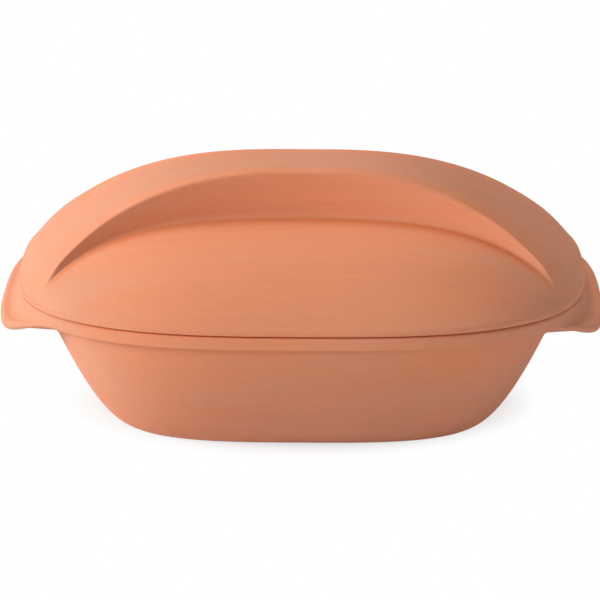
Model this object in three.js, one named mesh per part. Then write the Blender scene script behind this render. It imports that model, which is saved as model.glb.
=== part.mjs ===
// A clay roaster in two pieces: an oval dish with a drooping lug at each end, and a domed lid.
// A scallop on each long side of the lid leaves an arched ridge between them, to lift it by.
// Millimetres, +Z up. The origin is the middle of the foot, X runs along the length, -Y is the front.

import * as THREE from "three";
import { mergeVertices } from "three/addons/utils/BufferGeometryUtils.js";

const { lerp, smoothstep, smootherstep } = THREE.MathUtils;

// Rim: the oval that the dish and the lid share
const RIM_LENGTH = 384;
const RIM_WIDTH = 270;
const RIM_POWER = 2.95; // 2 is an ellipse, and a higher power is squarer

// Dish
const DISH_HEIGHT = 99; // from the table to the seat of the lid
const FOOT_LENGTH = 243;
const FOOT_WIDTH = 148;
const FOOT_POWER = 3.3;
const FOOT_ROUNDING = 18.5; // how far the foot's rounding runs out before the wall climbs
const WALL_POWER = 2.95; // the outline of the wall just under the band
const WALL_INSET_END = 16.5; // the wall under the band, in from the rim at the ends
const WALL_INSET_SIDE = 3; // and along the sides
const DISH_WALL = 8.5;
const DISH_FLOOR = 9;
const BAND_HEIGHT = 9; // the upright band below the seat
const BAND_ROUNDING = 1.6; // of its lower edge
const RIM_ROUNDING = 2; // of its upper edge, outside the seat
const SOFFIT_FALL = 3; // how far the underside of the band and lugs falls on its way in to the wall
const LEDGE_FALL = 0.5; // how far the ledge inside the mouth falls on its way in, so that it drains
const ARRIS = 1.2; // softening of the sharp edges inside the mouth and under the lid

// Rebate in the mouth of the dish, and the tongue of the lid that stands in it
const RIM_SEAT = 8; // width of the flat that carries the lid
const REBATE_DEPTH = 7.5;
const TONGUE_DEPTH = 5;
const TONGUE_WALL = 5;
const TONGUE_CLEARANCE = 1;
const SEAT_GAP = 0.3;

// Lugs
const LUG_REACH = 12.5; // outwards from the rim
const LUG_DROP = 16; // from the seat down to the top of the lip
const LUG_LIP = 8; // thickness of the lip
const LUG_WIDTH = 152; // across both corners of one lug
const LUG_CORNER = 48; // width over which a corner of the lug melts into the band

// Lid
const LID_HEIGHT = 76.2; // from the seat to the top of the ridge
const SHIELD_HEIGHT = 43.3; // from the seat to where the low dome under the ridge would peak
const LID_EDGE = 6; // the upright edge above the seat
const EDGE_ROUNDING = 1.6;
const LID_WALL = 8;
const RIDGE_POWER = 2.68; // how evenly the high dome falls to the rim
const SHIELD_POWER = 3.75; // and the low one

// Scallops
const RIDGE_WIDTH = 43.3; // across the ridge at its narrowest
const RIDGE_END_WIDTH = 165.5; // across the ridge where it runs out into the rim
const SCALLOP_BOW = 0.989; // share of a quarter ellipse that each half of the scallop's edge follows
const SCALLOP_RUN = 14; // plan width of the scallop's wall in the middle
const SCALLOP_TIP_RUN = 4; // and at its tips
const SCALLOP_FADE = 0.12; // share of the ridge's half length over which the wall runs out
const SHIELD_END = 0.25; // how far round, from a scallop tip to the full width, the side of the shield ends

// Fineness of the faces
const DISH_COLUMNS = 88;
const WALL_ROWS = 6;
const SECTION_STEPS = [1, 4, 3, 2]; // along the underside, the lip, the flank and the rim of a section
const LID_COLUMNS = 36;
const SHIELD_ROWS = 6;
const SCALLOP_ROWS = 6;
const RIDGE_ROWS = 7; // from one edge of the ridge to its middle

const CLAY = { color: 0xd98a63, roughness: 0.9, metalness: 0 };

// Ovals

const oval = (halfLength, halfWidth, power) => ({ halfLength, halfWidth, power });
const grown = (o, by) => oval(o.halfLength + by, o.halfWidth + by, o.power);

const RIM = oval(RIM_LENGTH / 2, RIM_WIDTH / 2, RIM_POWER);

function ovalPoint(o, angle, z) {
  const stretch = (v) => Math.sign(v) * Math.abs(v) ** (2 / o.power);
  const x = o.halfLength * stretch(Math.cos(angle));
  const y = o.halfWidth * stretch(Math.sin(angle));
  return new THREE.Vector3(x, y, z);
}

// 0 in the middle of the oval and 1 on its outline
const ovalShare = (o, x, y) =>
  (Math.abs(x / o.halfLength) ** o.power + Math.abs(y / o.halfWidth) ** o.power) ** (1 / o.power);

// Half of the length and of the width that are left at a distance from the other axis
const lengthAt = (o, y) => o.halfLength * (1 - Math.abs(y / o.halfWidth) ** o.power) ** (1 / o.power);
const widthAt = (o, x) => o.halfWidth * (1 - Math.abs(x / o.halfLength) ** o.power) ** (1 / o.power);

// Angles whose points lie evenly along an oval
function evenAngles(o, count) {
  const samples = 4096;
  const lengths = [0];
  for (let i = 1; i <= samples; i++) {
    const here = ovalPoint(o, (2 * Math.PI * i) / samples, 0);
    const last = ovalPoint(o, (2 * Math.PI * (i - 1)) / samples, 0);
    lengths.push(lengths[i - 1] + here.distanceTo(last));
  }
  const angles = [];
  for (let i = 0, k = 0; i < count; i++) {
    const wanted = (lengths[samples] * i) / count;
    while (lengths[k + 1] < wanted) k++;
    const part = (wanted - lengths[k]) / (lengths[k + 1] - lengths[k]);
    angles.push((2 * Math.PI * (k + part)) / samples);
  }
  return angles;
}

// Skins: closed surfaces drawn through loops that all run anticlockwise seen from above

function quad(corners, a, b, c, d) {
  corners.push(a, b, c, a, c, d);
}

function addLoops(corners, loops) {
  for (let k = 0; k + 1 < loops.length; k++) {
    const [low, high] = [loops[k], loops[k + 1]];
    low.forEach((point, i) => {
      const next = (i + 1) % low.length;
      quad(corners, point, low[next], high[next], high[i]);
    });
  }
}

function addFlatCap(corners, loop, facesUp) {
  const middle = new THREE.Vector3(0, 0, loop[0].z);
  loop.forEach((point, i) => {
    const next = loop[(i + 1) % loop.length];
    if (facesUp) corners.push(middle, point, next);
    else corners.push(middle, next, point);
  });
}

// A patch is rows of points from the front to the back, each row running from left to right
function addPatch(corners, rows, facesUp) {
  for (let j = 0; j + 1 < rows.length; j++) {
    for (let i = 0; i + 1 < rows[j].length; i++) {
      const [a, b, c, d] = [rows[j][i], rows[j][i + 1], rows[j + 1][i + 1], rows[j + 1][i]];
      if (facesUp) quad(corners, a, b, c, d);
      else quad(corners, a, d, c, b);
    }
  }
}

function patchOutline(rows) {
  const last = rows.length - 1;
  const right = rows.slice(1, last).map((row) => row[row.length - 1]);
  const left = rows.slice(1, last).map((row) => row[0]);
  return [...rows[0], ...right, ...[...rows[last]].reverse(), ...left.reverse()];
}

function clayPiece(name, corners) {
  const soup = new THREE.BufferGeometry().setFromPoints(corners);
  const geometry = mergeVertices(soup, 1e-4);
  geometry.computeVertexNormals();
  const piece = new THREE.Mesh(geometry, new THREE.MeshStandardMaterial(CLAY));
  piece.name = name;
  return piece;
}

// Dish

const FOOT = oval(FOOT_LENGTH / 2, FOOT_WIDTH / 2, FOOT_POWER);
const WALL_TOP = oval(RIM.halfLength - WALL_INSET_END, RIM.halfWidth - WALL_INSET_SIDE, WALL_POWER);

// A wall climbs from one oval to a higher one: it leaves the floor level and ends up leaning outwards.
// t runs from 0 at the floor to 1 at the top, and the height with its square.
function wallOval(low, high, t) {
  const out = (from, to) => from + 2 * t * (1 - t) * FOOT_ROUNDING + t * t * (to - from);
  return oval(
    out(low.halfLength, high.halfLength),
    out(low.halfWidth, high.halfWidth),
    lerp(low.power, high.power, t * t),
  );
}

// The band and the lug as sections through the rim, from the underside up to the seat.
// Both are an underside, a lip, a flank and a rounded rim, so that one can turn into the other.
// x is the distance outwards from the rim, and y the height above the seat.
const at = (x, y) => new THREE.Vector2(x, y);
const arc = (middle, radius, start, end) =>
  new THREE.EllipseCurve(middle.x, middle.y, radius, radius, start, end, false);

function section(underside, lip, flank) {
  const rim = arc(at(-RIM_ROUNDING, -RIM_ROUNDING), RIM_ROUNDING, 0, Math.PI / 2);
  return [underside, lip, flank, rim].flatMap((part, k) =>
    part.getPoints(SECTION_STEPS[k]).slice(k === 0 ? 0 : 1),
  );
}

function bandSection() {
  const lip = at(-BAND_ROUNDING, -BAND_HEIGHT + BAND_ROUNDING);
  return section(
    new THREE.LineCurve(at(-2 * BAND_ROUNDING, -BAND_HEIGHT), at(lip.x, -BAND_HEIGHT)),
    arc(lip, BAND_ROUNDING, -Math.PI / 2, 0),
    new THREE.LineCurve(at(0, lip.y), at(0, -RIM_ROUNDING)),
  );
}

function lugSection() {
  const round = LUG_LIP / 2;
  const lip = at(LUG_REACH - round, -LUG_DROP - round);
  return section(
    new THREE.LineCurve(at(0, lip.y - round), at(lip.x, lip.y - round)),
    arc(lip, round, -Math.PI / 2, Math.PI / 2),
    new THREE.QuadraticBezierCurve(at(lip.x, -LUG_DROP), at(0, -LUG_DROP), at(0, -RIM_ROUNDING)),
  );
}

// 1 on a lug, 0 on the band, and a smooth corner between
function lugShare(y) {
  const middle = LUG_WIDTH / 2;
  return smoothstep(middle + LUG_CORNER / 2 - Math.abs(y), 0, LUG_CORNER);
}

// Loops up a wall that would stand as high as asked, with each column cut off at its own height
function wallLoops(angles, low, high, floor, height, tops) {
  const loops = [];
  for (let k = 0; k <= WALL_ROWS; k++) {
    loops.push(
      angles.map((angle, i) => {
        const t = (k / WALL_ROWS) * Math.sqrt((tops[i] - floor) / height);
        return ovalPoint(wallOval(low, high, t), angle, floor + height * t * t);
      }),
    );
  }
  return loops;
}

function makeDish() {
  const angles = evenAngles(RIM, DISH_COLUMNS);
  const flat = (o, z) => angles.map((angle) => ovalPoint(o, angle, z));
  const shares = flat(RIM, 0).map((point) => lugShare(point.y));

  // Outside: the wall up to the underside of the band and lugs
  const soffits = shares.map((share) => {
    const underside = lerp(BAND_HEIGHT, LUG_DROP + LUG_LIP, share);
    return DISH_HEIGHT - underside - SOFFIT_FALL;
  });
  const loops = wallLoops(angles, FOOT, WALL_TOP, 0, DISH_HEIGHT - BAND_HEIGHT, soffits);

  // The band and lugs, round to the seat
  const lug = lugSection();
  bandSection().forEach((onBand, k) => {
    loops.push(
      angles.map((angle, i) => {
        const place = onBand.clone().lerp(lug[k], shares[i]);
        return ovalPoint(grown(RIM, place.x), angle, DISH_HEIGHT + place.y);
      }),
    );
  });

  // Inside: the mouth with its rebate, the ledge, and the wall down to the floor
  const mouth = grown(RIM, -RIM_SEAT);
  const rebate = DISH_HEIGHT - REBATE_DEPTH;
  loops.push(flat(grown(mouth, ARRIS), DISH_HEIGHT));
  loops.push(flat(mouth, DISH_HEIGHT - ARRIS));
  loops.push(flat(mouth, rebate));
  const insideTop = grown(WALL_TOP, -DISH_WALL);
  const insideFoot = grown(FOOT, -DISH_WALL / 2);
  const ledges = angles.map((angle) => {
    const width = ovalPoint(mouth, angle, 0).distanceTo(ovalPoint(insideTop, angle, 0));
    return rebate - LEDGE_FALL * width;
  });
  loops.push(...wallLoops(angles, insideFoot, insideTop, DISH_FLOOR, rebate - DISH_FLOOR, ledges).reverse());

  const corners = [];
  addFlatCap(corners, loops[0], false);
  addLoops(corners, loops);
  addFlatCap(corners, loops[loops.length - 1], true);
  return clayPiece("base_dish", corners);
}

// Lid: the outside and the hollow inside are two patches of one form

function lidForm(outline, edge, thickness) {
  return {
    outline,
    edge,
    ridge: LID_HEIGHT - thickness,
    shield: SHIELD_HEIGHT - thickness,
    narrow: RIDGE_WIDTH / 2 - thickness,
    wide: RIDGE_END_WIDTH / 2 - thickness,
  };
}

const dome = (form, top, power, x, y) =>
  form.edge + (top - form.edge) * (1 - Math.min(1, ovalShare(form.outline, x, y)) ** power);

// Rows across the lid, from the front rim to the middle: which band of the lid, and how far across it
function rowPlaces() {
  const places = [];
  for (let k = 0; k < SHIELD_ROWS; k++) places.push({ zone: "shield", t: k / SHIELD_ROWS });
  for (let k = 0; k < SCALLOP_ROWS; k++) places.push({ zone: "scallop", t: k / SCALLOP_ROWS });
  for (let k = 0; k <= RIDGE_ROWS; k++) places.push({ zone: "ridge", t: k / RIDGE_ROWS });
  return places;
}

// Distances from the long axis of the scallop's edge and foot, at a share u of the length
function scallopEdge(form, u) {
  const rise = (v) => 1 - Math.sqrt(1 - (SCALLOP_BOW * v) ** 2);
  return lerp(form.narrow, form.wide, rise(u) / rise(1));
}
const scallopFoot = (form, u) => scallopEdge(form, u) + lerp(SCALLOP_RUN, SCALLOP_TIP_RUN, u * u);

function distanceFromAxis(form, place, u) {
  const edge = scallopEdge(form, u);
  const foot = scallopFoot(form, u);
  if (place.zone === "ridge") return edge * (1 - place.t);
  if (place.zone === "scallop") return lerp(foot, edge, place.t);
  const rimEnd = lerp(scallopFoot(form, 1), form.outline.halfWidth, SHIELD_END);
  const rim = widthAt(form.outline, u * lengthAt(form.outline, rimEnd));
  return lerp(rim, foot, place.t);
}

function lidPoint(form, place, u) {
  const size = Math.abs(u);
  const y = distanceFromAxis(form, place, size);
  const x = u * lengthAt(form.outline, distanceFromAxis(form, place, 1));
  const low = dome(form, form.shield, SHIELD_POWER, x, y);
  const high = dome(form, form.ridge, RIDGE_POWER, x, y);
  const atEdge = smoothstep(1 - size, 0, SCALLOP_FADE);
  let share = 0;
  if (place.zone === "scallop") share = atEdge * smootherstep(place.t, 0, 1);
  if (place.zone === "ridge") share = lerp(atEdge, 1, smoothstep(place.t, 0, 1));
  return new THREE.Vector3(x, -y, DISH_HEIGHT + SEAT_GAP + lerp(low, high, share));
}

function lidPatch(form) {
  const columns = [];
  for (let i = 0; i <= LID_COLUMNS; i++) {
    columns.push(Math.sin((Math.PI / 2) * ((2 * i) / LID_COLUMNS - 1)));
  }
  const front = rowPlaces().map((place) => columns.map((u) => lidPoint(form, place, u)));
  const mirrored = front.slice(0, -1).map((row) => row.map((p) => new THREE.Vector3(p.x, -p.y, p.z)));
  return [...front, ...mirrored.reverse()];
}

function makeLid() {
  const tongueOutside = RIM_SEAT + TONGUE_CLEARANCE;
  const tongueInside = tongueOutside + TONGUE_WALL;
  const outside = lidForm(grown(RIM, -EDGE_ROUNDING), LID_EDGE, 0);
  const inside = lidForm(grown(RIM, -tongueInside - ARRIS), LID_EDGE + ARRIS, LID_WALL);
  const top = lidPatch(outside);
  const hollow = lidPatch(inside);
  const topLoop = patchOutline(top);

  // A loop under the lid's edge, as far out from the rim and as high above the seat as asked
  const under = (out, height) => {
    const o = grown(RIM, out);
    const { halfLength, halfWidth } = outside.outline;
    const z = DISH_HEIGHT + SEAT_GAP + height;
    return topLoop.map((p) => {
      return new THREE.Vector3((p.x / halfLength) * o.halfLength, (p.y / halfWidth) * o.halfWidth, z);
    });
  };

  const loops = [
    patchOutline(hollow),
    under(-tongueInside, -TONGUE_DEPTH + ARRIS),
    under(-tongueInside + ARRIS, -TONGUE_DEPTH),
    under(-tongueOutside - ARRIS, -TONGUE_DEPTH),
    under(-tongueOutside, -TONGUE_DEPTH + ARRIS),
    under(-tongueOutside, 0),
    under(-ARRIS, 0),
    under(0, ARRIS),
    under(0, LID_EDGE - EDGE_ROUNDING),
    topLoop,
  ];
  const corners = [];
  addPatch(corners, hollow, false);
  addLoops(corners, loops);
  addPatch(corners, top, true);
  return clayPiece("lid", corners);
}

const roaster = new THREE.Group();
roaster.name = "clay_roaster";
roaster.add(makeDish(), makeLid());

export default roaster;
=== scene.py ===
# %% [markdown]
# # A clay roaster
# An oval roaster is two pieces of unglazed fired clay: a deep dish with a drooping lug at each end, and a
# domed lid. A scallop pressed into each long side of the lid leaves an arched ridge to lift it by. This
# lesson models both pieces from primitives, ring by ring, and gives them one clay finish. It starts from
# a frame: the plain solids of the two pieces, at their real size, which say where all goes.

import math
from collections import namedtuple

import bmesh
import bpy
import numpy as np
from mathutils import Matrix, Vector


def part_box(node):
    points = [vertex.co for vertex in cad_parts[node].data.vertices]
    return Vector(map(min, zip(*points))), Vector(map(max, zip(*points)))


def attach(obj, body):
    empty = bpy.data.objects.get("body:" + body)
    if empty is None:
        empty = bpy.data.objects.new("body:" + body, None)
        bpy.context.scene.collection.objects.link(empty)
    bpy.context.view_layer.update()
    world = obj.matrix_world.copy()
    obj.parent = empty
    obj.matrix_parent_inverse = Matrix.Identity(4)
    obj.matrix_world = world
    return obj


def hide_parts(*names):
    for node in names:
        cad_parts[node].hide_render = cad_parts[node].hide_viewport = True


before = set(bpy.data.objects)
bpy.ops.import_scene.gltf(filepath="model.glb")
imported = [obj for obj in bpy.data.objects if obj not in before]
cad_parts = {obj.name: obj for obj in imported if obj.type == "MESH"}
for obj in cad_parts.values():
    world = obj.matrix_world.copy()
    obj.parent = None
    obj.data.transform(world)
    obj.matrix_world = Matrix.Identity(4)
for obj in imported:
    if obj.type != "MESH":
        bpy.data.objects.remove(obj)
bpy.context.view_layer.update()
MM = 0.001

bpy.ops.object.select_all(action="DESELECT")

# %% [markdown]
# ## Sizes
# The frame's boxes give the sizes that the two pieces share: the rim's length and width are the lid's,
# and the dish's top is the seat. What a box can't tell, such as a wall's thickness or how square an oval
# is, is named where it is needed. An oval is a superellipse: power 2 is an ellipse, and a higher power is
# squarer.

# %% Sizes of the rim, the dish and the lid
Oval = namedtuple("Oval", "half_length half_width power")

DISH_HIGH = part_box("base_dish")[1]
LID_LOW, LID_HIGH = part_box("lid")

RIM = Oval(LID_HIGH.x, LID_HIGH.y, 2.95)
SEAT = DISH_HIGH.z
SEAT_GAP = 0.3 * MM
LID_BASE = SEAT + SEAT_GAP
LID_HEIGHT = LID_HIGH.z - LID_BASE
TONGUE_DEPTH = LID_BASE - LID_LOW.z
LUG_REACH = DISH_HIGH.x - RIM.half_length

FOOT = Oval(121.5 * MM, 74 * MM, 3.3)
WALL_INSET_END = 16.5 * MM
WALL_INSET_SIDE = 3 * MM
WALL_TOP = Oval(RIM.half_length - WALL_INSET_END, RIM.half_width - WALL_INSET_SIDE, RIM.power)


def grown(oval, by):
    """The oval made larger all round by a distance."""
    return Oval(oval.half_length + by, oval.half_width + by, oval.power)


print(f"rim {2 * RIM.half_length:.3f} by {2 * RIM.half_width:.3f} m, seat at {SEAT:.3f} m")
print(f"lid {LID_HEIGHT:.4f} m over its seat, lugs reach {LUG_REACH:.4f} m")

# %% [markdown]
# ## Camera
# The roaster is seen from the front and a little above, through a long lens from two metres away, so that
# its ends hardly shrink with distance. The camera is aimed by its angles and not by hand, because the
# same numbers then say what the picture shows: how high it looks from, and how far round.

# %% Camera
CAMERA_DISTANCE = 2.0
CAMERA_ELEVATION = math.radians(21.36)
CAMERA_AZIMUTH = math.radians(0.85)
CAMERA_LENS = 174.5
AIM = Vector((-1.5 * MM, 0, SEAT - 25.7 * MM))

back = Vector((
    math.sin(CAMERA_AZIMUTH) * math.cos(CAMERA_ELEVATION),
    -math.cos(CAMERA_AZIMUTH) * math.cos(CAMERA_ELEVATION),
    math.sin(CAMERA_ELEVATION),
))
bpy.ops.object.camera_add(
    location=AIM + back * CAMERA_DISTANCE, rotation=back.to_track_quat("Z", "Y").to_euler(),
)
camera = bpy.context.object
camera.name = "camera"
camera.data.lens = CAMERA_LENS
bpy.context.scene.camera = camera
print("camera at", camera.location)

# %% [markdown]
# ## Shader maths
# A finish is a tree of nodes, and a tree is easier to read as a formula. A small class wraps a socket and
# turns the signs + - * into Math nodes, so that a mask can be written as 1 - a * b. Every other kind of
# node comes from one method, which takes its type, its settings and what goes into its sockets.

# %% A class for shader maths
class Value:
    """A socket of a shader node, which can be added, subtracted and multiplied."""

    def __init__(self, tree, socket):
        self.tree = tree
        self.socket = socket

    def maths(self, operation, first, second):
        made = self.tree.node("ShaderNodeMath", {"operation": operation}, {0: first, 1: second})
        return made["Value"]

    def __add__(self, other):
        return self.maths("ADD", self, other)

    def __radd__(self, other):
        return self.maths("ADD", other, self)

    def __sub__(self, other):
        return self.maths("SUBTRACT", self, other)

    def __rsub__(self, other):
        return self.maths("SUBTRACT", other, self)

    def __mul__(self, other):
        return self.maths("MULTIPLY", self, other)

    def __rmul__(self, other):
        return self.maths("MULTIPLY", other, self)


class Made:
    """A node that was made: its outputs by name."""

    def __init__(self, tree, node):
        self.tree = tree
        self.node = node

    def __getitem__(self, output):
        return Value(self.tree, self.node.outputs[output])


class Tree:
    """The nodes of a material or of the world, emptied first."""

    def __init__(self, owner):
        owner.use_nodes = True
        self.nodes = owner.node_tree.nodes
        self.links = owner.node_tree.links
        self.nodes.clear()

    def node(self, kind, settings=None, sockets=None):
        """A node of a kind, with its settings, and with values or links in its sockets."""
        made = self.nodes.new(kind)
        for name, value in (settings or {}).items():
            setattr(made, name, value)
        for name, value in (sockets or {}).items():
            if isinstance(value, Value):
                self.links.new(value.socket, made.inputs[name])
            else:
                made.inputs[name].default_value = value
        return Made(self, made)


def colour(red, green, blue):
    """A colour written as on a screen, 0 to 255, in the linear light that shaders use."""
    def linear(part):
        share = part / 255
        return share / 12.92 if share <= 0.04045 else ((share + 0.055) / 1.055) ** 2.4
    return (linear(red), linear(green), linear(blue), 1.0)


print("shader maths: ready")

# %% [markdown]
# ## White studio
# The roaster stands in a white studio. Light that is strong enough to turn the floor white in the picture
# would burn out the clay, so the floor and the world are made white only where they are seen: Light Path
# tells the rays that show them from the ones that light the clay. Close round the foot a share of the
# floor's own shading is left in, so that the shadow there stays. The floor also throws light up under the
# dish, which is why its wall stays bright although it leans away from the lamps.

# %% World and floor
WORLD_LIGHT = 0.03
FLOOR_SIDE = 12.0
FLOOR_GREY = 0.9
FLOOR_SHADOW = 0.35
SHADOW_NEAR, SHADOW_FAR = 1.0, 1.4  # in half lengths and half widths of the foot
WHITE = (1, 1, 1, 1)


def seen_rays(tree):
    """1 for rays that show the background, straight or mirrored, and 0 for those that light things."""
    path = tree.node("ShaderNodeLightPath")
    seen = path["Is Camera Ray"]
    for other in ("Is Glossy Ray", "Is Transmission Ray"):
        seen = tree.node("ShaderNodeMath", {"operation": "MAXIMUM"}, {0: seen, 1: path[other]})["Value"]
    return seen


def floor_finish():
    """A pale floor that is seen as white, apart from the shadow close round the foot."""
    made = bpy.data.materials.new("white_floor")
    tree = Tree(made)
    matt = tree.node("ShaderNodeBsdfDiffuse", None, {"Color": (FLOOR_GREY, FLOOR_GREY, FLOOR_GREY, 1)})
    white = tree.node("ShaderNodeEmission", None, {"Color": WHITE, "Strength": 1.0})
    place = tree.node("ShaderNodeTexCoord")["Object"]
    foot = {"Vector": place, "Scale": (1 / FOOT.half_length, 1 / FOOT.half_width, 1)}
    scaled = tree.node("ShaderNodeMapping", None, foot)["Vector"]
    distance = tree.node("ShaderNodeVectorMath", {"operation": "LENGTH"}, {0: scaled})["Value"]
    fading = {
        "Value": distance, "From Min": SHADOW_NEAR, "From Max": SHADOW_FAR,
        "To Min": FLOOR_SHADOW, "To Max": 0.0,
    }
    kept = tree.node("ShaderNodeMapRange", {"interpolation_type": "SMOOTHSTEP"}, fading)["Result"]
    share = seen_rays(tree) * (1 - kept)
    mixed = tree.node("ShaderNodeMixShader", None, {0: share, 1: matt["BSDF"], 2: white["Emission"]})
    tree.node("ShaderNodeOutputMaterial", None, {"Surface": mixed["Shader"]})
    return made


world = bpy.data.worlds.new("studio")
bpy.context.scene.world = world
sky_tree = Tree(world)
shine = seen_rays(sky_tree) * (1 - WORLD_LIGHT) + WORLD_LIGHT
sky = sky_tree.node("ShaderNodeBackground", None, {"Color": WHITE, "Strength": shine})
sky_tree.node("ShaderNodeOutputWorld", None, {"Surface": sky["Background"]})

bpy.ops.mesh.primitive_plane_add(size=FLOOR_SIDE, location=(0, 0, 0))
floor = bpy.context.object
floor.name = "floor"
floor.data.materials.append(floor_finish())
print("studio:", world.name, "with a floor of", FLOOR_SIDE, "m")

# %% [markdown]
# ## Lamps
# A studio lamp is a soft box, so each one is a square area lamp. Equal lamps all round would light the
# roaster evenly, but then nothing would show how the scallops turn. So the key lamp is strong, low and to
# the left, and far away, so that it lights the right end nearly as strongly as the left. One lamp above
# and behind picks out the tops, and two weaker ones fill from the front and the right.

# %% Lamps
PLAIN = (1, 1, 1)
WARM = (1.0, 0.9, 0.83)


def lamp(name, place, side, watts, tint=PLAIN):
    """A square soft lamp that faces the roaster."""
    place = Vector(place)
    turn = (place - AIM).to_track_quat("Z", "Y").to_euler()
    bpy.ops.object.light_add(type="AREA", location=place, rotation=turn)
    made = bpy.context.object
    made.name = name
    made.data.size = side
    made.data.energy = watts
    made.data.color = tint
    return made


lamps = [
    lamp("key_lamp", place=(-4.8, -1.2, 1.8), side=1.6, watts=236.0),
    lamp("top_lamp", place=(-0.6, 2.4, 4.3), side=3.0, watts=122.0, tint=WARM),
    lamp("front_lamp", place=(0, -4.0, 3.0), side=2.0, watts=44.0),
    lamp("right_lamp", place=(4.8, -1.2, 1.0), side=2.0, watts=28.0),
]
bpy.context.scene.view_settings.view_transform = "Standard"
print("lamps:", [made.name for made in lamps])

# %% [markdown]
# ## The clay
# Unglazed clay is matte. The long sides are given a deeper orange, and the ridge, the ends and the foot a
# pinker one, with broad clouds drifting between. Along the foot of a scallop's wall a darker, deeper orange
# is painted in, as painted shade and bounced light in that hollow corner. The sponge that wiped the clay
# along its length left bands and fine streaks, and there is a grain. Four noises make these, each with its
# own spread. A painted picture could do it too, but noises on Object coordinates run through the clay and
# have no seam. Grain and streaks also lift the surface a little.

# %% Colours of the clay
CLAY_ORANGE = colour(240, 154, 114)
CLAY_PINK = colour(226, 156, 124)
# Painted shade: a darker, deeper orange for shade and bounced light along the foot of a scallop's wall, and
# the attribute that says where it goes
CLAY_CREASE_SHADE = colour(232, 137, 88)
CREASE_SHADE = "crease_shade"  # an attribute: 1 along the foot of a scallop's wall
RIDGE = "ridge"  # an attribute: 1 on top of the ridge
ENDS_FROM, ENDS_TO = 100 * MM, 180 * MM  # distances from the middle between which the ends begin
FOOT_FROM, FOOT_TO = 0, 110 * MM  # heights between which the foot's colour gives way to the sides'

# How often each noise changes, per metre along the length, across it and up
CLOUD_SPREAD = (9.0, 18.0, 18.0)
BAND_SPREAD = (5.0, 70.0, 70.0)
STREAK_SPREAD = (40.0, 650.0, 650.0)
GRAIN_SPREAD = (1600.0, 1600.0, 1600.0)
NOISE_DETAIL = 3.0
NOISE_ROUGHNESS = 0.55
NOISE_MIDDLE = 0.5

# How far each turns the colour from orange to pink, and how far each lightens and darkens it
CLOUD_HUE, BAND_HUE, STREAK_HUE = 2.2, 1.2, 0.4
CLOUD_SHADE, BAND_SHADE, STREAK_SHADE, GRAIN_SHADE = 0.1, 0.12, 0.13, 0.13

CLAY_ROUGHNESS = 0.85
GRAIN_ROUGHNESS = 0.2  # how far the grain changes the roughness
CLAY_SPECULAR = 0.3
GRAIN_RELIEF = 0.3 * MM
STREAK_RELIEF = 0.5  # as a share of the grain's
RELIEF_STRENGTH = 0.2
print("clay: orange", CLAY_ORANGE, "and pink", CLAY_PINK)

# %% Clay finish
MIX_FACTOR, MIX_A, MIX_B, MIX_RESULT = 0, 6, 7, 2  # a colour Mix node's sockets


def clay_finish():
    """Matte fired clay."""
    made = bpy.data.materials.new("terracotta")
    tree = Tree(made)
    place = tree.node("ShaderNodeTexCoord")["Object"]

    def noise(spread):
        """A noise that swings about 0."""
        stretched = tree.node("ShaderNodeMapping", None, {"Vector": place, "Scale": spread})["Vector"]
        sockets = {
            "Vector": stretched, "Scale": 1.0, "Detail": NOISE_DETAIL, "Roughness": NOISE_ROUGHNESS,
        }
        return tree.node("ShaderNodeTexNoise", None, sockets)["Fac"] - NOISE_MIDDLE

    def beyond(part, low, high):
        """0 near the middle, and 1 beyond a distance to either side of it."""
        away = tree.node("ShaderNodeMath", {"operation": "ABSOLUTE"}, {0: part})["Value"]
        sockets = {"Value": away, "From Min": low, "From Max": high}
        return tree.node("ShaderNodeMapRange", {"interpolation_type": "SMOOTHSTEP"}, sockets)["Result"]

    def mixed(share, first, second):
        """The first colour where the share is 0, and the second where it is 1."""
        sockets = {MIX_FACTOR: share, MIX_A: first, MIX_B: second}
        return tree.node("ShaderNodeMix", {"data_type": "RGBA"}, sockets)[MIX_RESULT]

    cloud = noise(CLOUD_SPREAD)
    band = noise(BAND_SPREAD)
    streak = noise(STREAK_SPREAD)
    grain = noise(GRAIN_SPREAD)

    # Orange on the long sides, and pinker on the ridge, the ends and the foot, chosen by place
    parts = tree.node("ShaderNodeSeparateXYZ", None, {"Vector": place})
    off_ridge = 1 - tree.node("ShaderNodeAttribute", {"attribute_name": RIDGE})["Fac"]
    off_ends = 1 - beyond(parts["X"], ENDS_FROM, ENDS_TO)
    off_foot = beyond(parts["Z"], FOOT_FROM, FOOT_TO)
    sides = off_ridge * off_ends * off_foot
    hue = 1 - sides + cloud * CLOUD_HUE + band * BAND_HUE + streak * STREAK_HUE
    # painted shade and bounced light, laid along the foot of each scallop's wall
    crease_shade = tree.node("ShaderNodeAttribute", {"attribute_name": CREASE_SHADE})["Fac"]
    tint = mixed(crease_shade, mixed(hue, CLAY_ORANGE, CLAY_PINK), CLAY_CREASE_SHADE)
    shade = cloud * CLOUD_SHADE + band * BAND_SHADE + streak * STREAK_SHADE + grain * GRAIN_SHADE + 1
    base = tree.node("ShaderNodeVectorMath", {"operation": "SCALE"}, {0: tint, "Scale": shade})["Vector"]

    height = streak * STREAK_RELIEF + grain
    relief = {"Strength": RELIEF_STRENGTH, "Distance": GRAIN_RELIEF, "Height": height}
    bump = tree.node("ShaderNodeBump", None, relief)["Normal"]
    sockets = {
        "Base Color": base, "Roughness": grain * GRAIN_ROUGHNESS + CLAY_ROUGHNESS,
        "Specular IOR Level": CLAY_SPECULAR, "Normal": bump,
    }
    surface = tree.node("ShaderNodeBsdfPrincipled", None, sockets)["BSDF"]
    tree.node("ShaderNodeOutputMaterial", None, {"Surface": surface})
    return made


CLAY = clay_finish()
print("clay:", len(CLAY.node_tree.nodes), "nodes")

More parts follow.
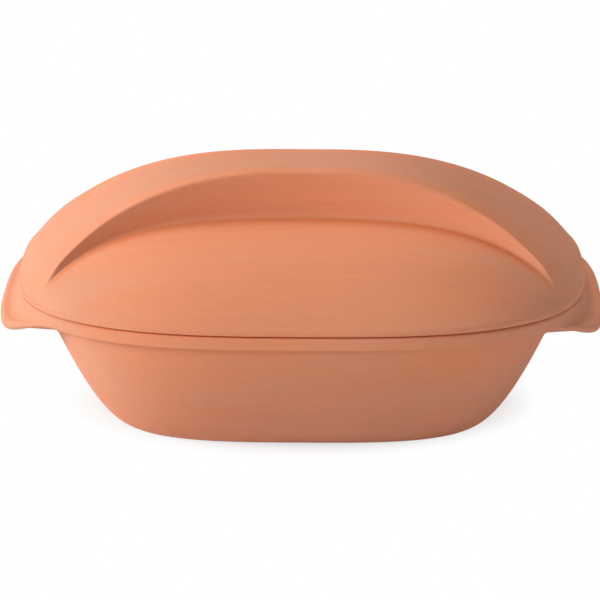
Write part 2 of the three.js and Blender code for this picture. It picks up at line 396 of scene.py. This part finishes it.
# %% [markdown]
# ## Rings
# Both pieces are drawn as a potter raises a wall: a ring at a time. A ring is extruded from the edge of
# the last one, and each of its points then goes to its new place. The points find their way by a
# direction that each of them keeps as an attribute, called home, which extruding copies: the direction in
# which the point lies from the middle. A ring is then just a rule that turns directions into places.

# %% Points that keep their homes
HOME = "home"


def only(piece, mode):
    """Selects one piece and nothing else, and opens it in a mode."""
    if bpy.context.mode != "OBJECT":
        bpy.ops.object.mode_set(mode="OBJECT")
    bpy.ops.object.select_all(action="DESELECT")
    piece.select_set(True)
    bpy.context.view_layer.objects.active = piece
    bpy.ops.object.mode_set(mode=mode)


def keep_homes(piece, rule):
    """Gives every point its home, worked out from where it is."""
    mesh = bmesh.from_edit_mesh(piece.data)
    layer = mesh.verts.layers.float_vector.new(HOME)
    homes = rule(np.array([point.co[:2] for point in mesh.verts]))
    for point, home in zip(mesh.verts, homes):
        point[layer] = (home[0], home[1], 0)
    bmesh.update_edit_mesh(piece.data)


def place_selected(piece, ring):
    """Puts the selected points where a ring's rule says."""
    mesh = bmesh.from_edit_mesh(piece.data)
    layer = mesh.verts.layers.float_vector[HOME]
    points = [point for point in mesh.verts if point.select]
    homes = np.array([point[layer][:2] for point in points])
    for point, place in zip(points, ring(homes)):
        point.co = place
    bmesh.update_edit_mesh(piece.data)


def extrude_rings(piece, rings):
    """Extrudes the selected edge once for each ring."""
    for ring in rings:
        bpy.ops.mesh.extrude_edges_move()
        place_selected(piece, ring)


print("homes: kept in the attribute", HOME)

# %% [markdown]
# ## Curves for the rings
# A ring needs few curves: an oval to lie on, and lines, arcs and rounded corners for the sections that
# the rings follow up a wall or round an edge. Curve objects could hold them, but a formula can be asked
# for any point of a section, and blended with another one.

# %% Curves
QUARTER = math.pi / 2


def on_oval(homes, oval, height):
    """Points of an oval in the directions of homes. Sizes and height may vary from point to point."""
    stretched = [np.sign(part) * np.abs(part) ** (2 / oval.power) for part in homes.T]
    places = [oval.half_length * stretched[0], oval.half_width * stretched[1], height + 0 * stretched[0]]
    return np.column_stack(places)


def bend(start, corner, end, share):
    """A point on a rounded corner, from its start at share 0 to its end at share 1."""
    return (1 - share) ** 2 * start + 2 * share * (1 - share) * corner + share**2 * end


def straight(start, end):
    """A rule for a straight line."""
    return lambda share: (1 - share) * np.array(start) + share * np.array(end)


def curved(start, corner, end):
    """A rule for a rounded corner."""
    return lambda share: bend(np.array(start), np.array(corner), np.array(end), share)


def arc(middle, radius, start, end):
    """A rule for an arc of a circle between two angles."""
    def point(share):
        angle = start + share * (end - start)
        return np.array([middle[0] + radius * math.cos(angle), middle[1] + radius * math.sin(angle)])
    return point


def smooth(share):
    """An S-curve from 0 to 1."""
    share = np.clip(share, 0, 1)
    return share * share * (3 - 2 * share)


def steps(count):
    """Even shares up to 1, without the 0 that the last ring already holds."""
    return np.arange(1, count + 1) / count


def travelled(points):
    """The share of the way along a line of points, at each of them."""
    lengths = np.linalg.norm(np.diff(points, axis=0), axis=1)
    so_far = np.concatenate([[0], np.cumsum(lengths)])
    return so_far / so_far[-1]


print("curves: ready")

# %% [markdown]
# ## The dish: its wall
# The real dish is pressed in a mould: a flat foot, a wall that sweeps outwards from it, and a band at the
# rim. At each end the band droops and flares into a lug for the fingers. A dish could be turned with Spin
# if it were round, but this one is oval and its lugs break the symmetry, so each ring gets a rule. The
# wall is one curve from the foot to the rim, and it serves inside the dish as well.

# %% The dish's wall
FOOT_ROUNDING = 18.5 * MM
LUG_WIDTH = 152 * MM
LUG_CORNER = 48 * MM


def on_wall(homes, low, high, floor, height, climb):
    """A ring on a wall that leaves the floor level and leans out: climb is 0 on the floor, 1 at the top."""
    def out(start, end):
        return start + 2 * climb * (1 - climb) * FOOT_ROUNDING + climb**2 * (end - start)
    power = low.power + climb**2 * (high.power - low.power)
    oval = Oval(out(low.half_length, high.half_length), out(low.half_width, high.half_width), power)
    return on_oval(homes, oval, floor + height * climb**2)


def lug_share(homes):
    """1 on a lug, 0 on the band, and a smooth corner between."""
    y = on_oval(homes, RIM, 0)[:, 1]
    return smooth((LUG_WIDTH / 2 + LUG_CORNER / 2 - np.abs(y)) / LUG_CORNER)


print(f"wall: from {2 * FOOT.half_length:.3f} m long at the foot to {2 * WALL_TOP.half_length:.3f} m")

# %% [markdown]
# ## The dish: its band and lugs
# A lug is the band pulled out and down, so the two are drawn as sections that are alike part for part: an
# underside, a lip, a face and a rounded edge. Every point of a ring takes its own share of the one or the
# other. Lugs could be made apart and joined by a Boolean, but then no soft corner would lead into them.

# %% Sections of the band and the lugs
BAND_HEIGHT = 9 * MM
BAND_ROUNDING = 1.6 * MM
RIM_ROUNDING = 2.0 * MM
LUG_DROP = 16 * MM
LUG_LIP = 8 * MM

# Both run from the underside up to the seat, in distances out from the rim and heights over the seat
RIM_ARC = arc((-RIM_ROUNDING, -RIM_ROUNDING), RIM_ROUNDING, 0, QUARTER)
BAND_LIP = (-BAND_ROUNDING, -BAND_HEIGHT + BAND_ROUNDING)
BAND = [
    straight((-2 * BAND_ROUNDING, -BAND_HEIGHT), (-BAND_ROUNDING, -BAND_HEIGHT)),
    arc(BAND_LIP, BAND_ROUNDING, -QUARTER, 0),
    straight((0, BAND_LIP[1]), (0, -RIM_ROUNDING)),
    RIM_ARC,
]
LIP = LUG_LIP / 2
LUG_TIP = (LUG_REACH - LIP, -LUG_DROP - LIP)
LUG = [
    straight((0, LUG_TIP[1] - LIP), (LUG_TIP[0], LUG_TIP[1] - LIP)),
    arc(LUG_TIP, LIP, -QUARTER, QUARTER),
    curved((LUG_TIP[0], -LUG_DROP), (0, -LUG_DROP), (0, -RIM_ROUNDING)),
    RIM_ARC,
]
SECTION_RINGS = (4, 14, 16, 6)


def section_ring(band, lug, share):
    """A ring on the band and the lugs."""
    def ring(homes):
        part = lug_share(homes)[:, None]
        at = band(share) * (1 - part) + lug(share) * part
        return on_oval(homes, grown(RIM, at[:, 0]), SEAT + at[:, 1])
    return ring


print("band and lugs:", len(BAND), "parts each,", sum(SECTION_RINGS), "rings")

# %% [markdown]
# ## The dish: its outside
# Clay in a mould leaves no sharp inner corner, so a fillet leads from the wall into the underside of the
# band and lugs. A Bevel could round it afterwards, but here the corner climbs and falls with the lugs,
# and rings that bend round it keep an even width.

# %% The dish's outside
SOFFIT_FALL = 3 * MM
FILLET = 3 * MM
FILLET_LIMIT = 0.8  # the most of the underside that the fillet takes
WALL_RINGS = 36
FILLET_RINGS = 10


def wall_end(homes, below):
    """Where the wall meets the underside of the band and lugs, or a ring so far below on the wall."""
    part = lug_share(homes)
    underside = BAND_HEIGHT + part * (LUG_DROP + LUG_LIP - BAND_HEIGHT)
    height = SEAT - BAND_HEIGHT
    climb = np.sqrt((SEAT - underside - SOFFIT_FALL - below) / height)
    return climb, on_wall(homes, FOOT, WALL_TOP, 0, height, climb)


def wall_ring(share):
    """A ring on the outside of the wall, up to where its rounding into the underside starts."""
    def ring(homes):
        climb = wall_end(homes, FILLET)[0]
        return on_wall(homes, FOOT, WALL_TOP, 0, SEAT - BAND_HEIGHT, share * climb)
    return ring


def fillet_ring(share):
    """A ring on the rounding between the wall and the underside."""
    def ring(homes):
        corner = wall_end(homes, 0)[1]
        way = section_ring(BAND[0], LUG[0], 0)(homes) - corner
        run = np.minimum(FILLET_LIMIT, FILLET / np.linalg.norm(way, axis=1))[:, None]
        return bend(wall_end(homes, FILLET)[1], corner, corner + run * way, share)
    return ring


outside = [wall_ring(share) for share in steps(WALL_RINGS)]
outside += [fillet_ring(share) for share in steps(FILLET_RINGS)]
outside.append(section_ring(BAND[0], LUG[0], 0))
for band, lug, count in zip(BAND, LUG, SECTION_RINGS):
    outside += [section_ring(band, lug, share) for share in steps(count)]
print("dish:", len(outside), "rings outside")

# %% [markdown]
# ## The dish: its inside
# Inside the mouth a rebate takes the lid's tongue. Below it a ledge falls to the inner wall, wide at the
# ends, where the dish narrows under its lugs, and the wall runs down to a flat floor. Solidify could give
# the dish a thickness, but not a rebate, so the rings go on from the seat in the same way, over the edge
# and down.

# %% The dish's inside
RIM_SEAT = 8 * MM
REBATE_DEPTH = 7.5 * MM
LEDGE_FALL = 0.5  # how far the ledge falls for each length inwards
DISH_WALL = 8.5 * MM
DISH_FLOOR = 9 * MM
ARRIS = 1.2 * MM
LEDGE_ARRIS = 2 * ARRIS

MOUTH = grown(RIM, -RIM_SEAT)
REBATE = SEAT - REBATE_DEPTH
INSIDE_FOOT = grown(FOOT, -DISH_WALL / 2)
INSIDE_TOP = grown(WALL_TOP, -DISH_WALL)


def mouth_arris_ring(share):
    """A ring on the soft edge between the seat and the rebate."""
    out, up = arc((ARRIS, -ARRIS), ARRIS, QUARTER, 2 * QUARTER)(share)
    return lambda homes: on_oval(homes, grown(MOUTH, out), SEAT + up)


def ledge_end(homes, below):
    """Where the ledge meets the inner wall, or a ring so far below on the wall."""
    gap = on_oval(homes, MOUTH, 0) - on_oval(homes, INSIDE_TOP, 0)
    ledge = REBATE - LEDGE_FALL * np.linalg.norm(gap, axis=1) - below
    climb = np.sqrt((ledge - DISH_FLOOR) / (REBATE - DISH_FLOOR))
    return climb, on_wall(homes, INSIDE_FOOT, INSIDE_TOP, DISH_FLOOR, REBATE - DISH_FLOOR, climb)


print(f"mouth: {2 * MOUTH.half_length:.3f} by {2 * MOUTH.half_width:.3f} m, rebate at {REBATE:.4f} m")

# %% Rings of the dish's inside
REBATE_LIMIT = 0.4  # the most of the ledge that the hollow corner takes
LEDGE_LIMIT = 0.5  # the most of the ledge that its rounded edge takes
MOUTH_RINGS, REBATE_RINGS, LEDGE_RINGS = 5, 4, 5
FLAT_INSET = 3 * MM


def rebate_ring(share):
    """A ring on the hollow corner between the rebate and the ledge."""
    def ring(homes):
        corner = on_oval(homes, MOUTH, REBATE)
        way = ledge_end(homes, 0)[1] - corner
        run = np.minimum(REBATE_LIMIT, ARRIS / np.linalg.norm(way, axis=1))[:, None]
        return bend(on_oval(homes, MOUTH, REBATE + ARRIS), corner, corner + run * way, share)
    return ring


def ledge_ring(share):
    """A ring on the rounded edge between the ledge and the inner wall."""
    def ring(homes):
        corner = ledge_end(homes, 0)[1]
        way = on_oval(homes, MOUTH, REBATE) - corner
        run = np.minimum(LEDGE_LIMIT, LEDGE_ARRIS / np.linalg.norm(way, axis=1))[:, None]
        return bend(corner + run * way, corner, ledge_end(homes, LEDGE_ARRIS)[1], share)
    return ring


def inner_wall_ring(share):
    """A ring on the inner wall, from under the ledge at share 1 to the floor at share 0."""
    def ring(homes):
        climb = share * ledge_end(homes, LEDGE_ARRIS)[0]
        return on_wall(homes, INSIDE_FOOT, INSIDE_TOP, DISH_FLOOR, REBATE - DISH_FLOOR, climb)
    return ring


inside = [mouth_arris_ring(share) for share in (0, *steps(MOUTH_RINGS))]
inside += [rebate_ring(share) for share in (0, *steps(REBATE_RINGS))]
inside += [ledge_ring(share) for share in (0, *steps(LEDGE_RINGS))]
inside += [inner_wall_ring(1 - share) for share in steps(WALL_RINGS)]
inside.append(lambda homes: on_oval(homes, grown(INSIDE_FOOT, -FLAT_INSET), DISH_FLOOR))
print("dish:", len(inside), "rings inside")

# %% [markdown]
# ## The dish: raising it
# The start is a filled circle, the foot. Its points are first spread evenly along the rim, because equal
# angles would crowd at the corners of an oval this square. An inset ring keeps the foot's shading flat to
# its edge. Then all the rings are extruded in one go, and the floor is filled with a face.

# %% Raise the dish
DISH_COLUMNS = 360
RIM_SAMPLES = 20001
TURN = 2 * math.pi


def spread(unit):
    """Homes for points on a unit circle, so that they lie evenly along the rim."""
    fine = np.linspace(0, TURN, RIM_SAMPLES)
    rim = on_oval(np.column_stack([np.cos(fine), np.sin(fine)]), RIM, 0)
    share = np.arctan2(unit[:, 1], unit[:, 0]) % TURN / TURN
    angle = np.interp(share, travelled(rim), fine)
    return np.column_stack([np.cos(angle), np.sin(angle)])


bpy.ops.object.select_all(action="DESELECT")
bpy.ops.mesh.primitive_circle_add(vertices=DISH_COLUMNS, radius=1, fill_type="NGON")
dish = bpy.context.object
dish.name = "clay_dish"
only(dish, "EDIT")
bpy.ops.mesh.select_mode(type="VERT")
bpy.ops.mesh.select_all(action="SELECT")
keep_homes(dish, spread)
place_selected(dish, lambda homes: on_oval(homes, grown(FOOT, -FLAT_INSET), 0))
extrude_rings(dish, [lambda homes: on_oval(homes, FOOT, 0)] + outside + inside)
bpy.ops.mesh.edge_face_add()
bpy.ops.mesh.select_all(action="SELECT")
bpy.ops.mesh.normals_make_consistent(inside=False)
bpy.ops.object.mode_set(mode="OBJECT")
bpy.ops.object.shade_smooth()
print("dish:", len(dish.data.vertices), "points,", len(dish.data.polygons), "faces")

# %% [markdown]
# ## The lid: its domes
# The lid is two domes over one rim. The high one shows as the ridge, and the low one, the shield, in
# front of it and behind it. Spheres could be scaled to such domes, but their sides would be too round: a
# power gives each dome its own fullness. At the ends the lid swells a little and rolls over, so that it
# comes down to its edge in one round sweep.

# %% The lid's domes
Form = namedtuple("Form", "outline edge ridge shield narrow wide")

SHIELD_HEIGHT = 45.3 * MM
SHIELD_POWER = 3.75
RIDGE_POWER = 2.68
RIDGE_WIDTH = 45.5 * MM
RIDGE_END_WIDTH = 165.5 * MM
END_FROM, END_TO = 0.72, 0.9  # shares of the half length between which the ends begin
END_FULLNESS = 0.8 * MM
FULL_FROM = 0.8  # share of the way from the middle to the outline where the ends start to swell
END_ROLL = 2.8 * MM
ROLL_FROM = 0.94  # share of the same way where they start to roll over


def lid_form(outline, edge, thickness):
    """The lid's outside, or its hollow, which lies a wall's thickness further in."""
    return Form(
        outline, edge, LID_HEIGHT - thickness, SHIELD_HEIGHT - thickness,
        RIDGE_WIDTH / 2 - thickness, RIDGE_END_WIDTH / 2 - thickness,
    )


def reach(oval, x, y):
    """0 in the middle of an oval and 1 on its outline."""
    along = np.abs(x / oval.half_length) ** oval.power
    across = np.abs(y / oval.half_width) ** oval.power
    return np.minimum(1, (along + across) ** (1 / oval.power))


def dome(form, top, power, out):
    """Height of a dome that stands on the outline."""
    return form.edge + (top - form.edge) * (1 - out**power)


def at_end(x):
    """1 at the ends of the lid and 0 along its sides."""
    return smooth((np.abs(x) / RIM.half_length - END_FROM) / (END_TO - END_FROM))


def end_shape(x, out):
    """How far the ends swell, and then roll over to a lower edge."""
    swell = np.clip((out - FULL_FROM) / (1 - FULL_FROM), 0, 1)
    roll = np.clip((out - ROLL_FROM) / (1 - ROLL_FROM), 0, 1)
    return at_end(x) * (END_FULLNESS * 4 * swell * (1 - swell) - END_ROLL * roll**2)


print(f"domes: ridge {LID_HEIGHT:.4f} m high, shield {SHIELD_HEIGHT:.4f} m")

# %% [markdown]
# ## The lid: its scallops
# A scallop's wall climbs from the low dome to the high one, out of a cove and over a tighter shoulder,
# along a curve that opens towards the ends, where it runs out. A Boolean could cut the scallops, but it
# would leave a sharp edge and ragged faces. A grid whose rows follow the scallop's foot and edge has
# neither, so each point of a grid is sent to its place.

# %% The wall of a scallop, in section
SCALLOP_BOW = 0.989  # how far out on a quarter circle its edge goes, seen from above
SCALLOP_RUN = 11 * MM
SCALLOP_TIP_RUN = 4 * MM
SCALLOP_FADE = 0.07  # share of the length over which a tip runs out
SCALLOP_COVE = 5 * MM
SCALLOP_LEAN = math.radians(82)
CORNER_POINTS = 24


def wall_section():
    """A scallop's wall from its foot to its edge: shares of its length, of its run and of its rise."""
    rise = LID_HEIGHT - SHIELD_HEIGHT
    slope = math.tan(SCALLOP_LEAN)
    turned = math.sin(SCALLOP_LEAN) - (1 - math.cos(SCALLOP_LEAN)) / slope
    shoulder_radius = (SCALLOP_RUN - rise / slope) / turned - SCALLOP_COVE
    turn = np.linspace(0, SCALLOP_LEAN, CORNER_POINTS)
    corner = np.column_stack([np.sin(turn), 1 - np.cos(turn)])
    cove = SCALLOP_COVE * corner
    shoulder = np.array([SCALLOP_RUN, rise]) - shoulder_radius * corner
    points = np.vstack([cove, shoulder[::-1]])
    return travelled(points), points[:, 0] / SCALLOP_RUN, points[:, 1] / rise


WALL_LENGTH, WALL_RUN, WALL_RISE = wall_section()
print("scallop:", len(WALL_LENGTH), "points in section")

# %% Rows of the lid's grid
SHIELD_ROWS, SCALLOP_ROWS, RIDGE_ROWS = 26, 32, 20
HALF_ROWS = SHIELD_ROWS + SCALLOP_ROWS + RIDGE_ROWS
SHIELD_END = 0.25  # share of the way from a scallop's tip to the rim that the shield keeps at the ends


def row_of(grid):
    """The row of each point of a grid from -1 to 1 each way, counted from the rim to the middle."""
    return (1 - np.abs(grid[:, 1])) * HALF_ROWS


def length_of(grid):
    """The share of the half length that each point of such a grid lies at."""
    return np.sin(grid[:, 0] * QUARTER)


def left_of(whole, share, power):
    """Half of the length, or of the width, that an oval has left at a share of the way across it."""
    return whole * (1 - np.abs(share) ** power) ** (1 / power)


def scallop_edge(form, u):
    """Distance of the scallop's upper edge from the middle line, at a share u of the length."""
    def bow(share):
        return 1 - np.sqrt(1 - (SCALLOP_BOW * share) ** 2)
    return form.narrow + (form.wide - form.narrow) * bow(u) / bow(1)


def from_middle(form, row, u):
    """A row's distance from the middle at a share u of the length, and its shares of scallop and ridge."""
    edge = scallop_edge(form, u)
    foot = edge + SCALLOP_RUN + (SCALLOP_TIP_RUN - SCALLOP_RUN) * u**2
    oval = form.outline
    tip = form.wide + SCALLOP_TIP_RUN
    rim_end = tip + SHIELD_END * (oval.half_width - tip)
    rim_length = left_of(1, rim_end / oval.half_width, oval.power)
    rim = left_of(oval.half_width, u * rim_length, oval.power)
    stops = [0, SHIELD_ROWS, SHIELD_ROWS + SCALLOP_ROWS, HALF_ROWS]
    shield, scallop, ridge = [
        np.clip((row - low) / (high - low), 0, 1) for low, high in zip(stops, stops[1:])
    ]
    run = np.interp(scallop, WALL_LENGTH, WALL_RUN)
    return rim + (foot - rim) * shield + (edge - foot) * run - edge * ridge, scallop, ridge


def lid_places(form, grid):
    """Places for the points of a grid."""
    u = length_of(grid)
    row = row_of(grid)
    y, scallop, ridge = from_middle(form, row, np.abs(u))
    y_end = from_middle(form, row, np.ones_like(u))[0]
    x = u * left_of(form.outline.half_length, y_end / form.outline.half_width, form.outline.power)
    out = reach(form.outline, x, y)
    low = dome(form, form.shield, SHIELD_POWER, out)
    high = dome(form, form.ridge, RIDGE_POWER, out)
    fade = smooth((1 - np.abs(u)) / SCALLOP_FADE)
    climb = fade * np.interp(scallop, WALL_LENGTH, WALL_RISE) + (1 - fade) * smooth(ridge)
    height = low + climb * (high - low) + end_shape(x, out)
    return np.column_stack([x, np.sign(grid[:, 1]) * y, LID_BASE + height])


print("lid:", 2 * HALF_ROWS, "rows from rim to rim")

# %% [markdown]
# ## The lid: its two skins
# The real lid has nearly the same thickness all over, and is hollow under its ridge. So the same form is
# made twice, once for the outside and once, smaller by a wall's thickness, for the hollow. A point's home
# is here its place in the flat grid. Each skin also gets two attributes for the clay: where the painted
# shade along a scallop's foot lies, and where the top of the ridge is.

# %% The lid's skins
LID_EDGE = 6 * MM
EDGE_ROUNDING = 1.6 * MM
LID_WALL = 8 * MM
TONGUE_CLEARANCE = 1 * MM
TONGUE_WIDTH = 5 * MM
TONGUE_OUT = RIM_SEAT + TONGUE_CLEARANCE
TONGUE_IN = TONGUE_OUT + TONGUE_WIDTH
LID_COLUMNS = 160
# where the painted shade lies on a scallop's wall
CREASE_AT, CREASE_SPREAD = 0.0, 0.1  # shares of the way up the wall
RIDGE_SHARE = 0.5  # share of the way over the ridge that its colour begins in


def crease_shade_shares(grid):
    """Painted shade: 1 along the foot of a scallop's wall, and 0 a little way from it on either side."""
    up = (row_of(grid) - SHIELD_ROWS) / SCALLOP_ROWS
    near = smooth(1 - np.abs(up - CREASE_AT) / CREASE_SPREAD)
    return near * smooth((1 - np.abs(length_of(grid))) / SCALLOP_FADE)


def ridge_shares(grid):
    """1 on top of the ridge, down to 0 at the scallops' upper edges."""
    past = row_of(grid) - SHIELD_ROWS - SCALLOP_ROWS
    return smooth(past / (RIDGE_SHARE * RIDGE_ROWS))


def lid_skin(name, form):
    """A grid whose points lie on a form."""
    bpy.ops.object.select_all(action="DESELECT")
    bpy.ops.mesh.primitive_grid_add(x_subdivisions=LID_COLUMNS, y_subdivisions=2 * HALF_ROWS, size=2)
    skin = bpy.context.object
    skin.name = name
    only(skin, "EDIT")
    bpy.ops.mesh.select_all(action="SELECT")
    keep_homes(skin, lambda grid: grid)
    place_selected(skin, lambda grid: lid_places(form, grid))
    bpy.ops.object.mode_set(mode="OBJECT")
    grid = np.array([home.vector[:2] for home in skin.data.attributes[HOME].data])
    for attribute, rule in ((CREASE_SHADE, crease_shade_shares), (RIDGE, ridge_shares)):
        shares = skin.data.attributes.new(attribute, "FLOAT", "POINT")
        shares.data.foreach_set("value", rule(grid))
    return skin


OUTSIDE = lid_form(grown(RIM, -EDGE_ROUNDING), LID_EDGE, 0)
HOLLOW = lid_form(grown(RIM, -TONGUE_IN - ARRIS), LID_EDGE + ARRIS, LID_WALL)
lid = lid_skin("clay_lid", OUTSIDE)
hollow = lid_skin("lid_hollow", HOLLOW)
print("lid:", len(lid.data.polygons), "faces on each skin")

# %% [markdown]
# ## The lid: its edge
# Under the dome the lid has an upright edge, a flat that rests on the dish, and a tongue that stands in the
# rebate so that the lid can't slide off. A Bevel would round every corner alike, but here the top one is
# the softest and the lower one stands a little clear of the dish, so the edge is drawn as a section too,
# and rings follow it down.

# %% The lid's edge and tongue, in section
EDGE_RELIEF = 0.9 * MM  # how far the outer edge stays above the seat
EDGE_ARRIS = 0.9 * MM
SHOULDER_DROP = 1.5 * EDGE_ROUNDING
SHOULDER = LID_EDGE - SHOULDER_DROP

# Each part with its number of rings, in distances out from the rim and heights over the lid's seat
edge_parts = [
    (curved((-EDGE_ROUNDING, LID_EDGE), (0, LID_EDGE - EDGE_ROUNDING), (0, SHOULDER)), 6),
    (straight((0, SHOULDER), (0, EDGE_RELIEF + EDGE_ARRIS)), 3),
    (curved((0, EDGE_RELIEF + EDGE_ARRIS), (0, EDGE_RELIEF), (-EDGE_ARRIS, EDGE_RELIEF)), 5),
    (straight((-EDGE_ARRIS, EDGE_RELIEF), (-TONGUE_OUT + ARRIS, 0)), 3),
    (curved((-TONGUE_OUT + ARRIS, 0), (-TONGUE_OUT, 0), (-TONGUE_OUT, -ARRIS)), 4),
    (straight((-TONGUE_OUT, -ARRIS), (-TONGUE_OUT, -TONGUE_DEPTH + ARRIS)), 2),
    (curved((-TONGUE_OUT, -TONGUE_DEPTH + ARRIS), (-TONGUE_OUT, -TONGUE_DEPTH),
            (-TONGUE_OUT - ARRIS, -TONGUE_DEPTH)), 4),
    (straight((-TONGUE_OUT - ARRIS, -TONGUE_DEPTH), (-TONGUE_IN + ARRIS, -TONGUE_DEPTH)), 2),
    (curved((-TONGUE_IN + ARRIS, -TONGUE_DEPTH), (-TONGUE_IN, -TONGUE_DEPTH),
            (-TONGUE_IN, -TONGUE_DEPTH + ARRIS)), 4),
]


def edge_ring(at):
    """A ring so far out from the rim and so high over the lid's seat, lower where the ends roll over."""
    def ring(homes):
        x = on_oval(homes, OUTSIDE.outline, 0)[:, 0]
        lower = 1 - at_end(x) * END_ROLL / LID_EDGE if at[1] > 0 else 1
        return on_oval(homes, grown(RIM, at[0]), LID_BASE + at[1] * lower)
    return ring


edge_rings = [edge_ring(part(share)) for part, count in edge_parts for share in steps(count)]
print("lid:", len(edge_rings), "rings round its edge")

# %% [markdown]
# ## The lid: closing it
# The open edge of the outer skin is selected by its faces, which it has on one side only, and the rings go
# down from it. The hollow is then joined in, and a bridge leads from the last ring of the tongue to it.
# Both skins are the same grid, so their edges have equally many points and the bridge comes out even.

# %% Close the lid
def to_homes(places):
    """Homes of points that lie on the outside's outline."""
    shares = places / np.array([OUTSIDE.outline.half_length, OUTSIDE.outline.half_width])
    return np.sign(shares) * np.abs(shares) ** (RIM.power / 2)


def select_open_edge():
    """Selects the edges that have a face on one side only."""
    bpy.ops.mesh.select_mode(type="EDGE")
    bpy.ops.mesh.select_all(action="DESELECT")
    bpy.ops.mesh.select_non_manifold(
        extend=False, use_wire=False, use_boundary=True, use_multi_face=False, use_non_contiguous=False,
        use_verts=False,
    )


only(lid, "EDIT")
mesh = bmesh.from_edit_mesh(lid.data)
mesh.verts.layers.float_vector.remove(mesh.verts.layers.float_vector[HOME])
keep_homes(lid, to_homes)
select_open_edge()
extrude_rings(lid, edge_rings)
bpy.ops.object.mode_set(mode="OBJECT")

bpy.ops.object.select_all(action="DESELECT")
hollow.select_set(True)
lid.select_set(True)
bpy.context.view_layer.objects.active = lid
bpy.ops.object.join()
only(lid, "EDIT")
select_open_edge()
bpy.ops.mesh.bridge_edge_loops()
bpy.ops.mesh.select_all(action="SELECT")
bpy.ops.mesh.normals_make_consistent(inside=False)
bpy.ops.object.mode_set(mode="OBJECT")
bpy.ops.object.shade_smooth()
print("lid:", len(lid.data.vertices), "points,", len(lid.data.polygons), "faces")

# %% [markdown]
# ## Dressing the frame
# Each piece takes the place of its plain solid, moves with that solid's body, and gets the clay. Each could
# have a clay of its own, but a dish and its lid are of one colour, so they share one.

# %% Dress the frame
for piece, node, body in ((dish, "base_dish", "dish_body"), (lid, "lid", "lid_body")):
    piece.data.materials.clear()
    piece.data.materials.append(CLAY)
    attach(piece, body)
    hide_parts(node)
    print(piece.name, "rides on", body)
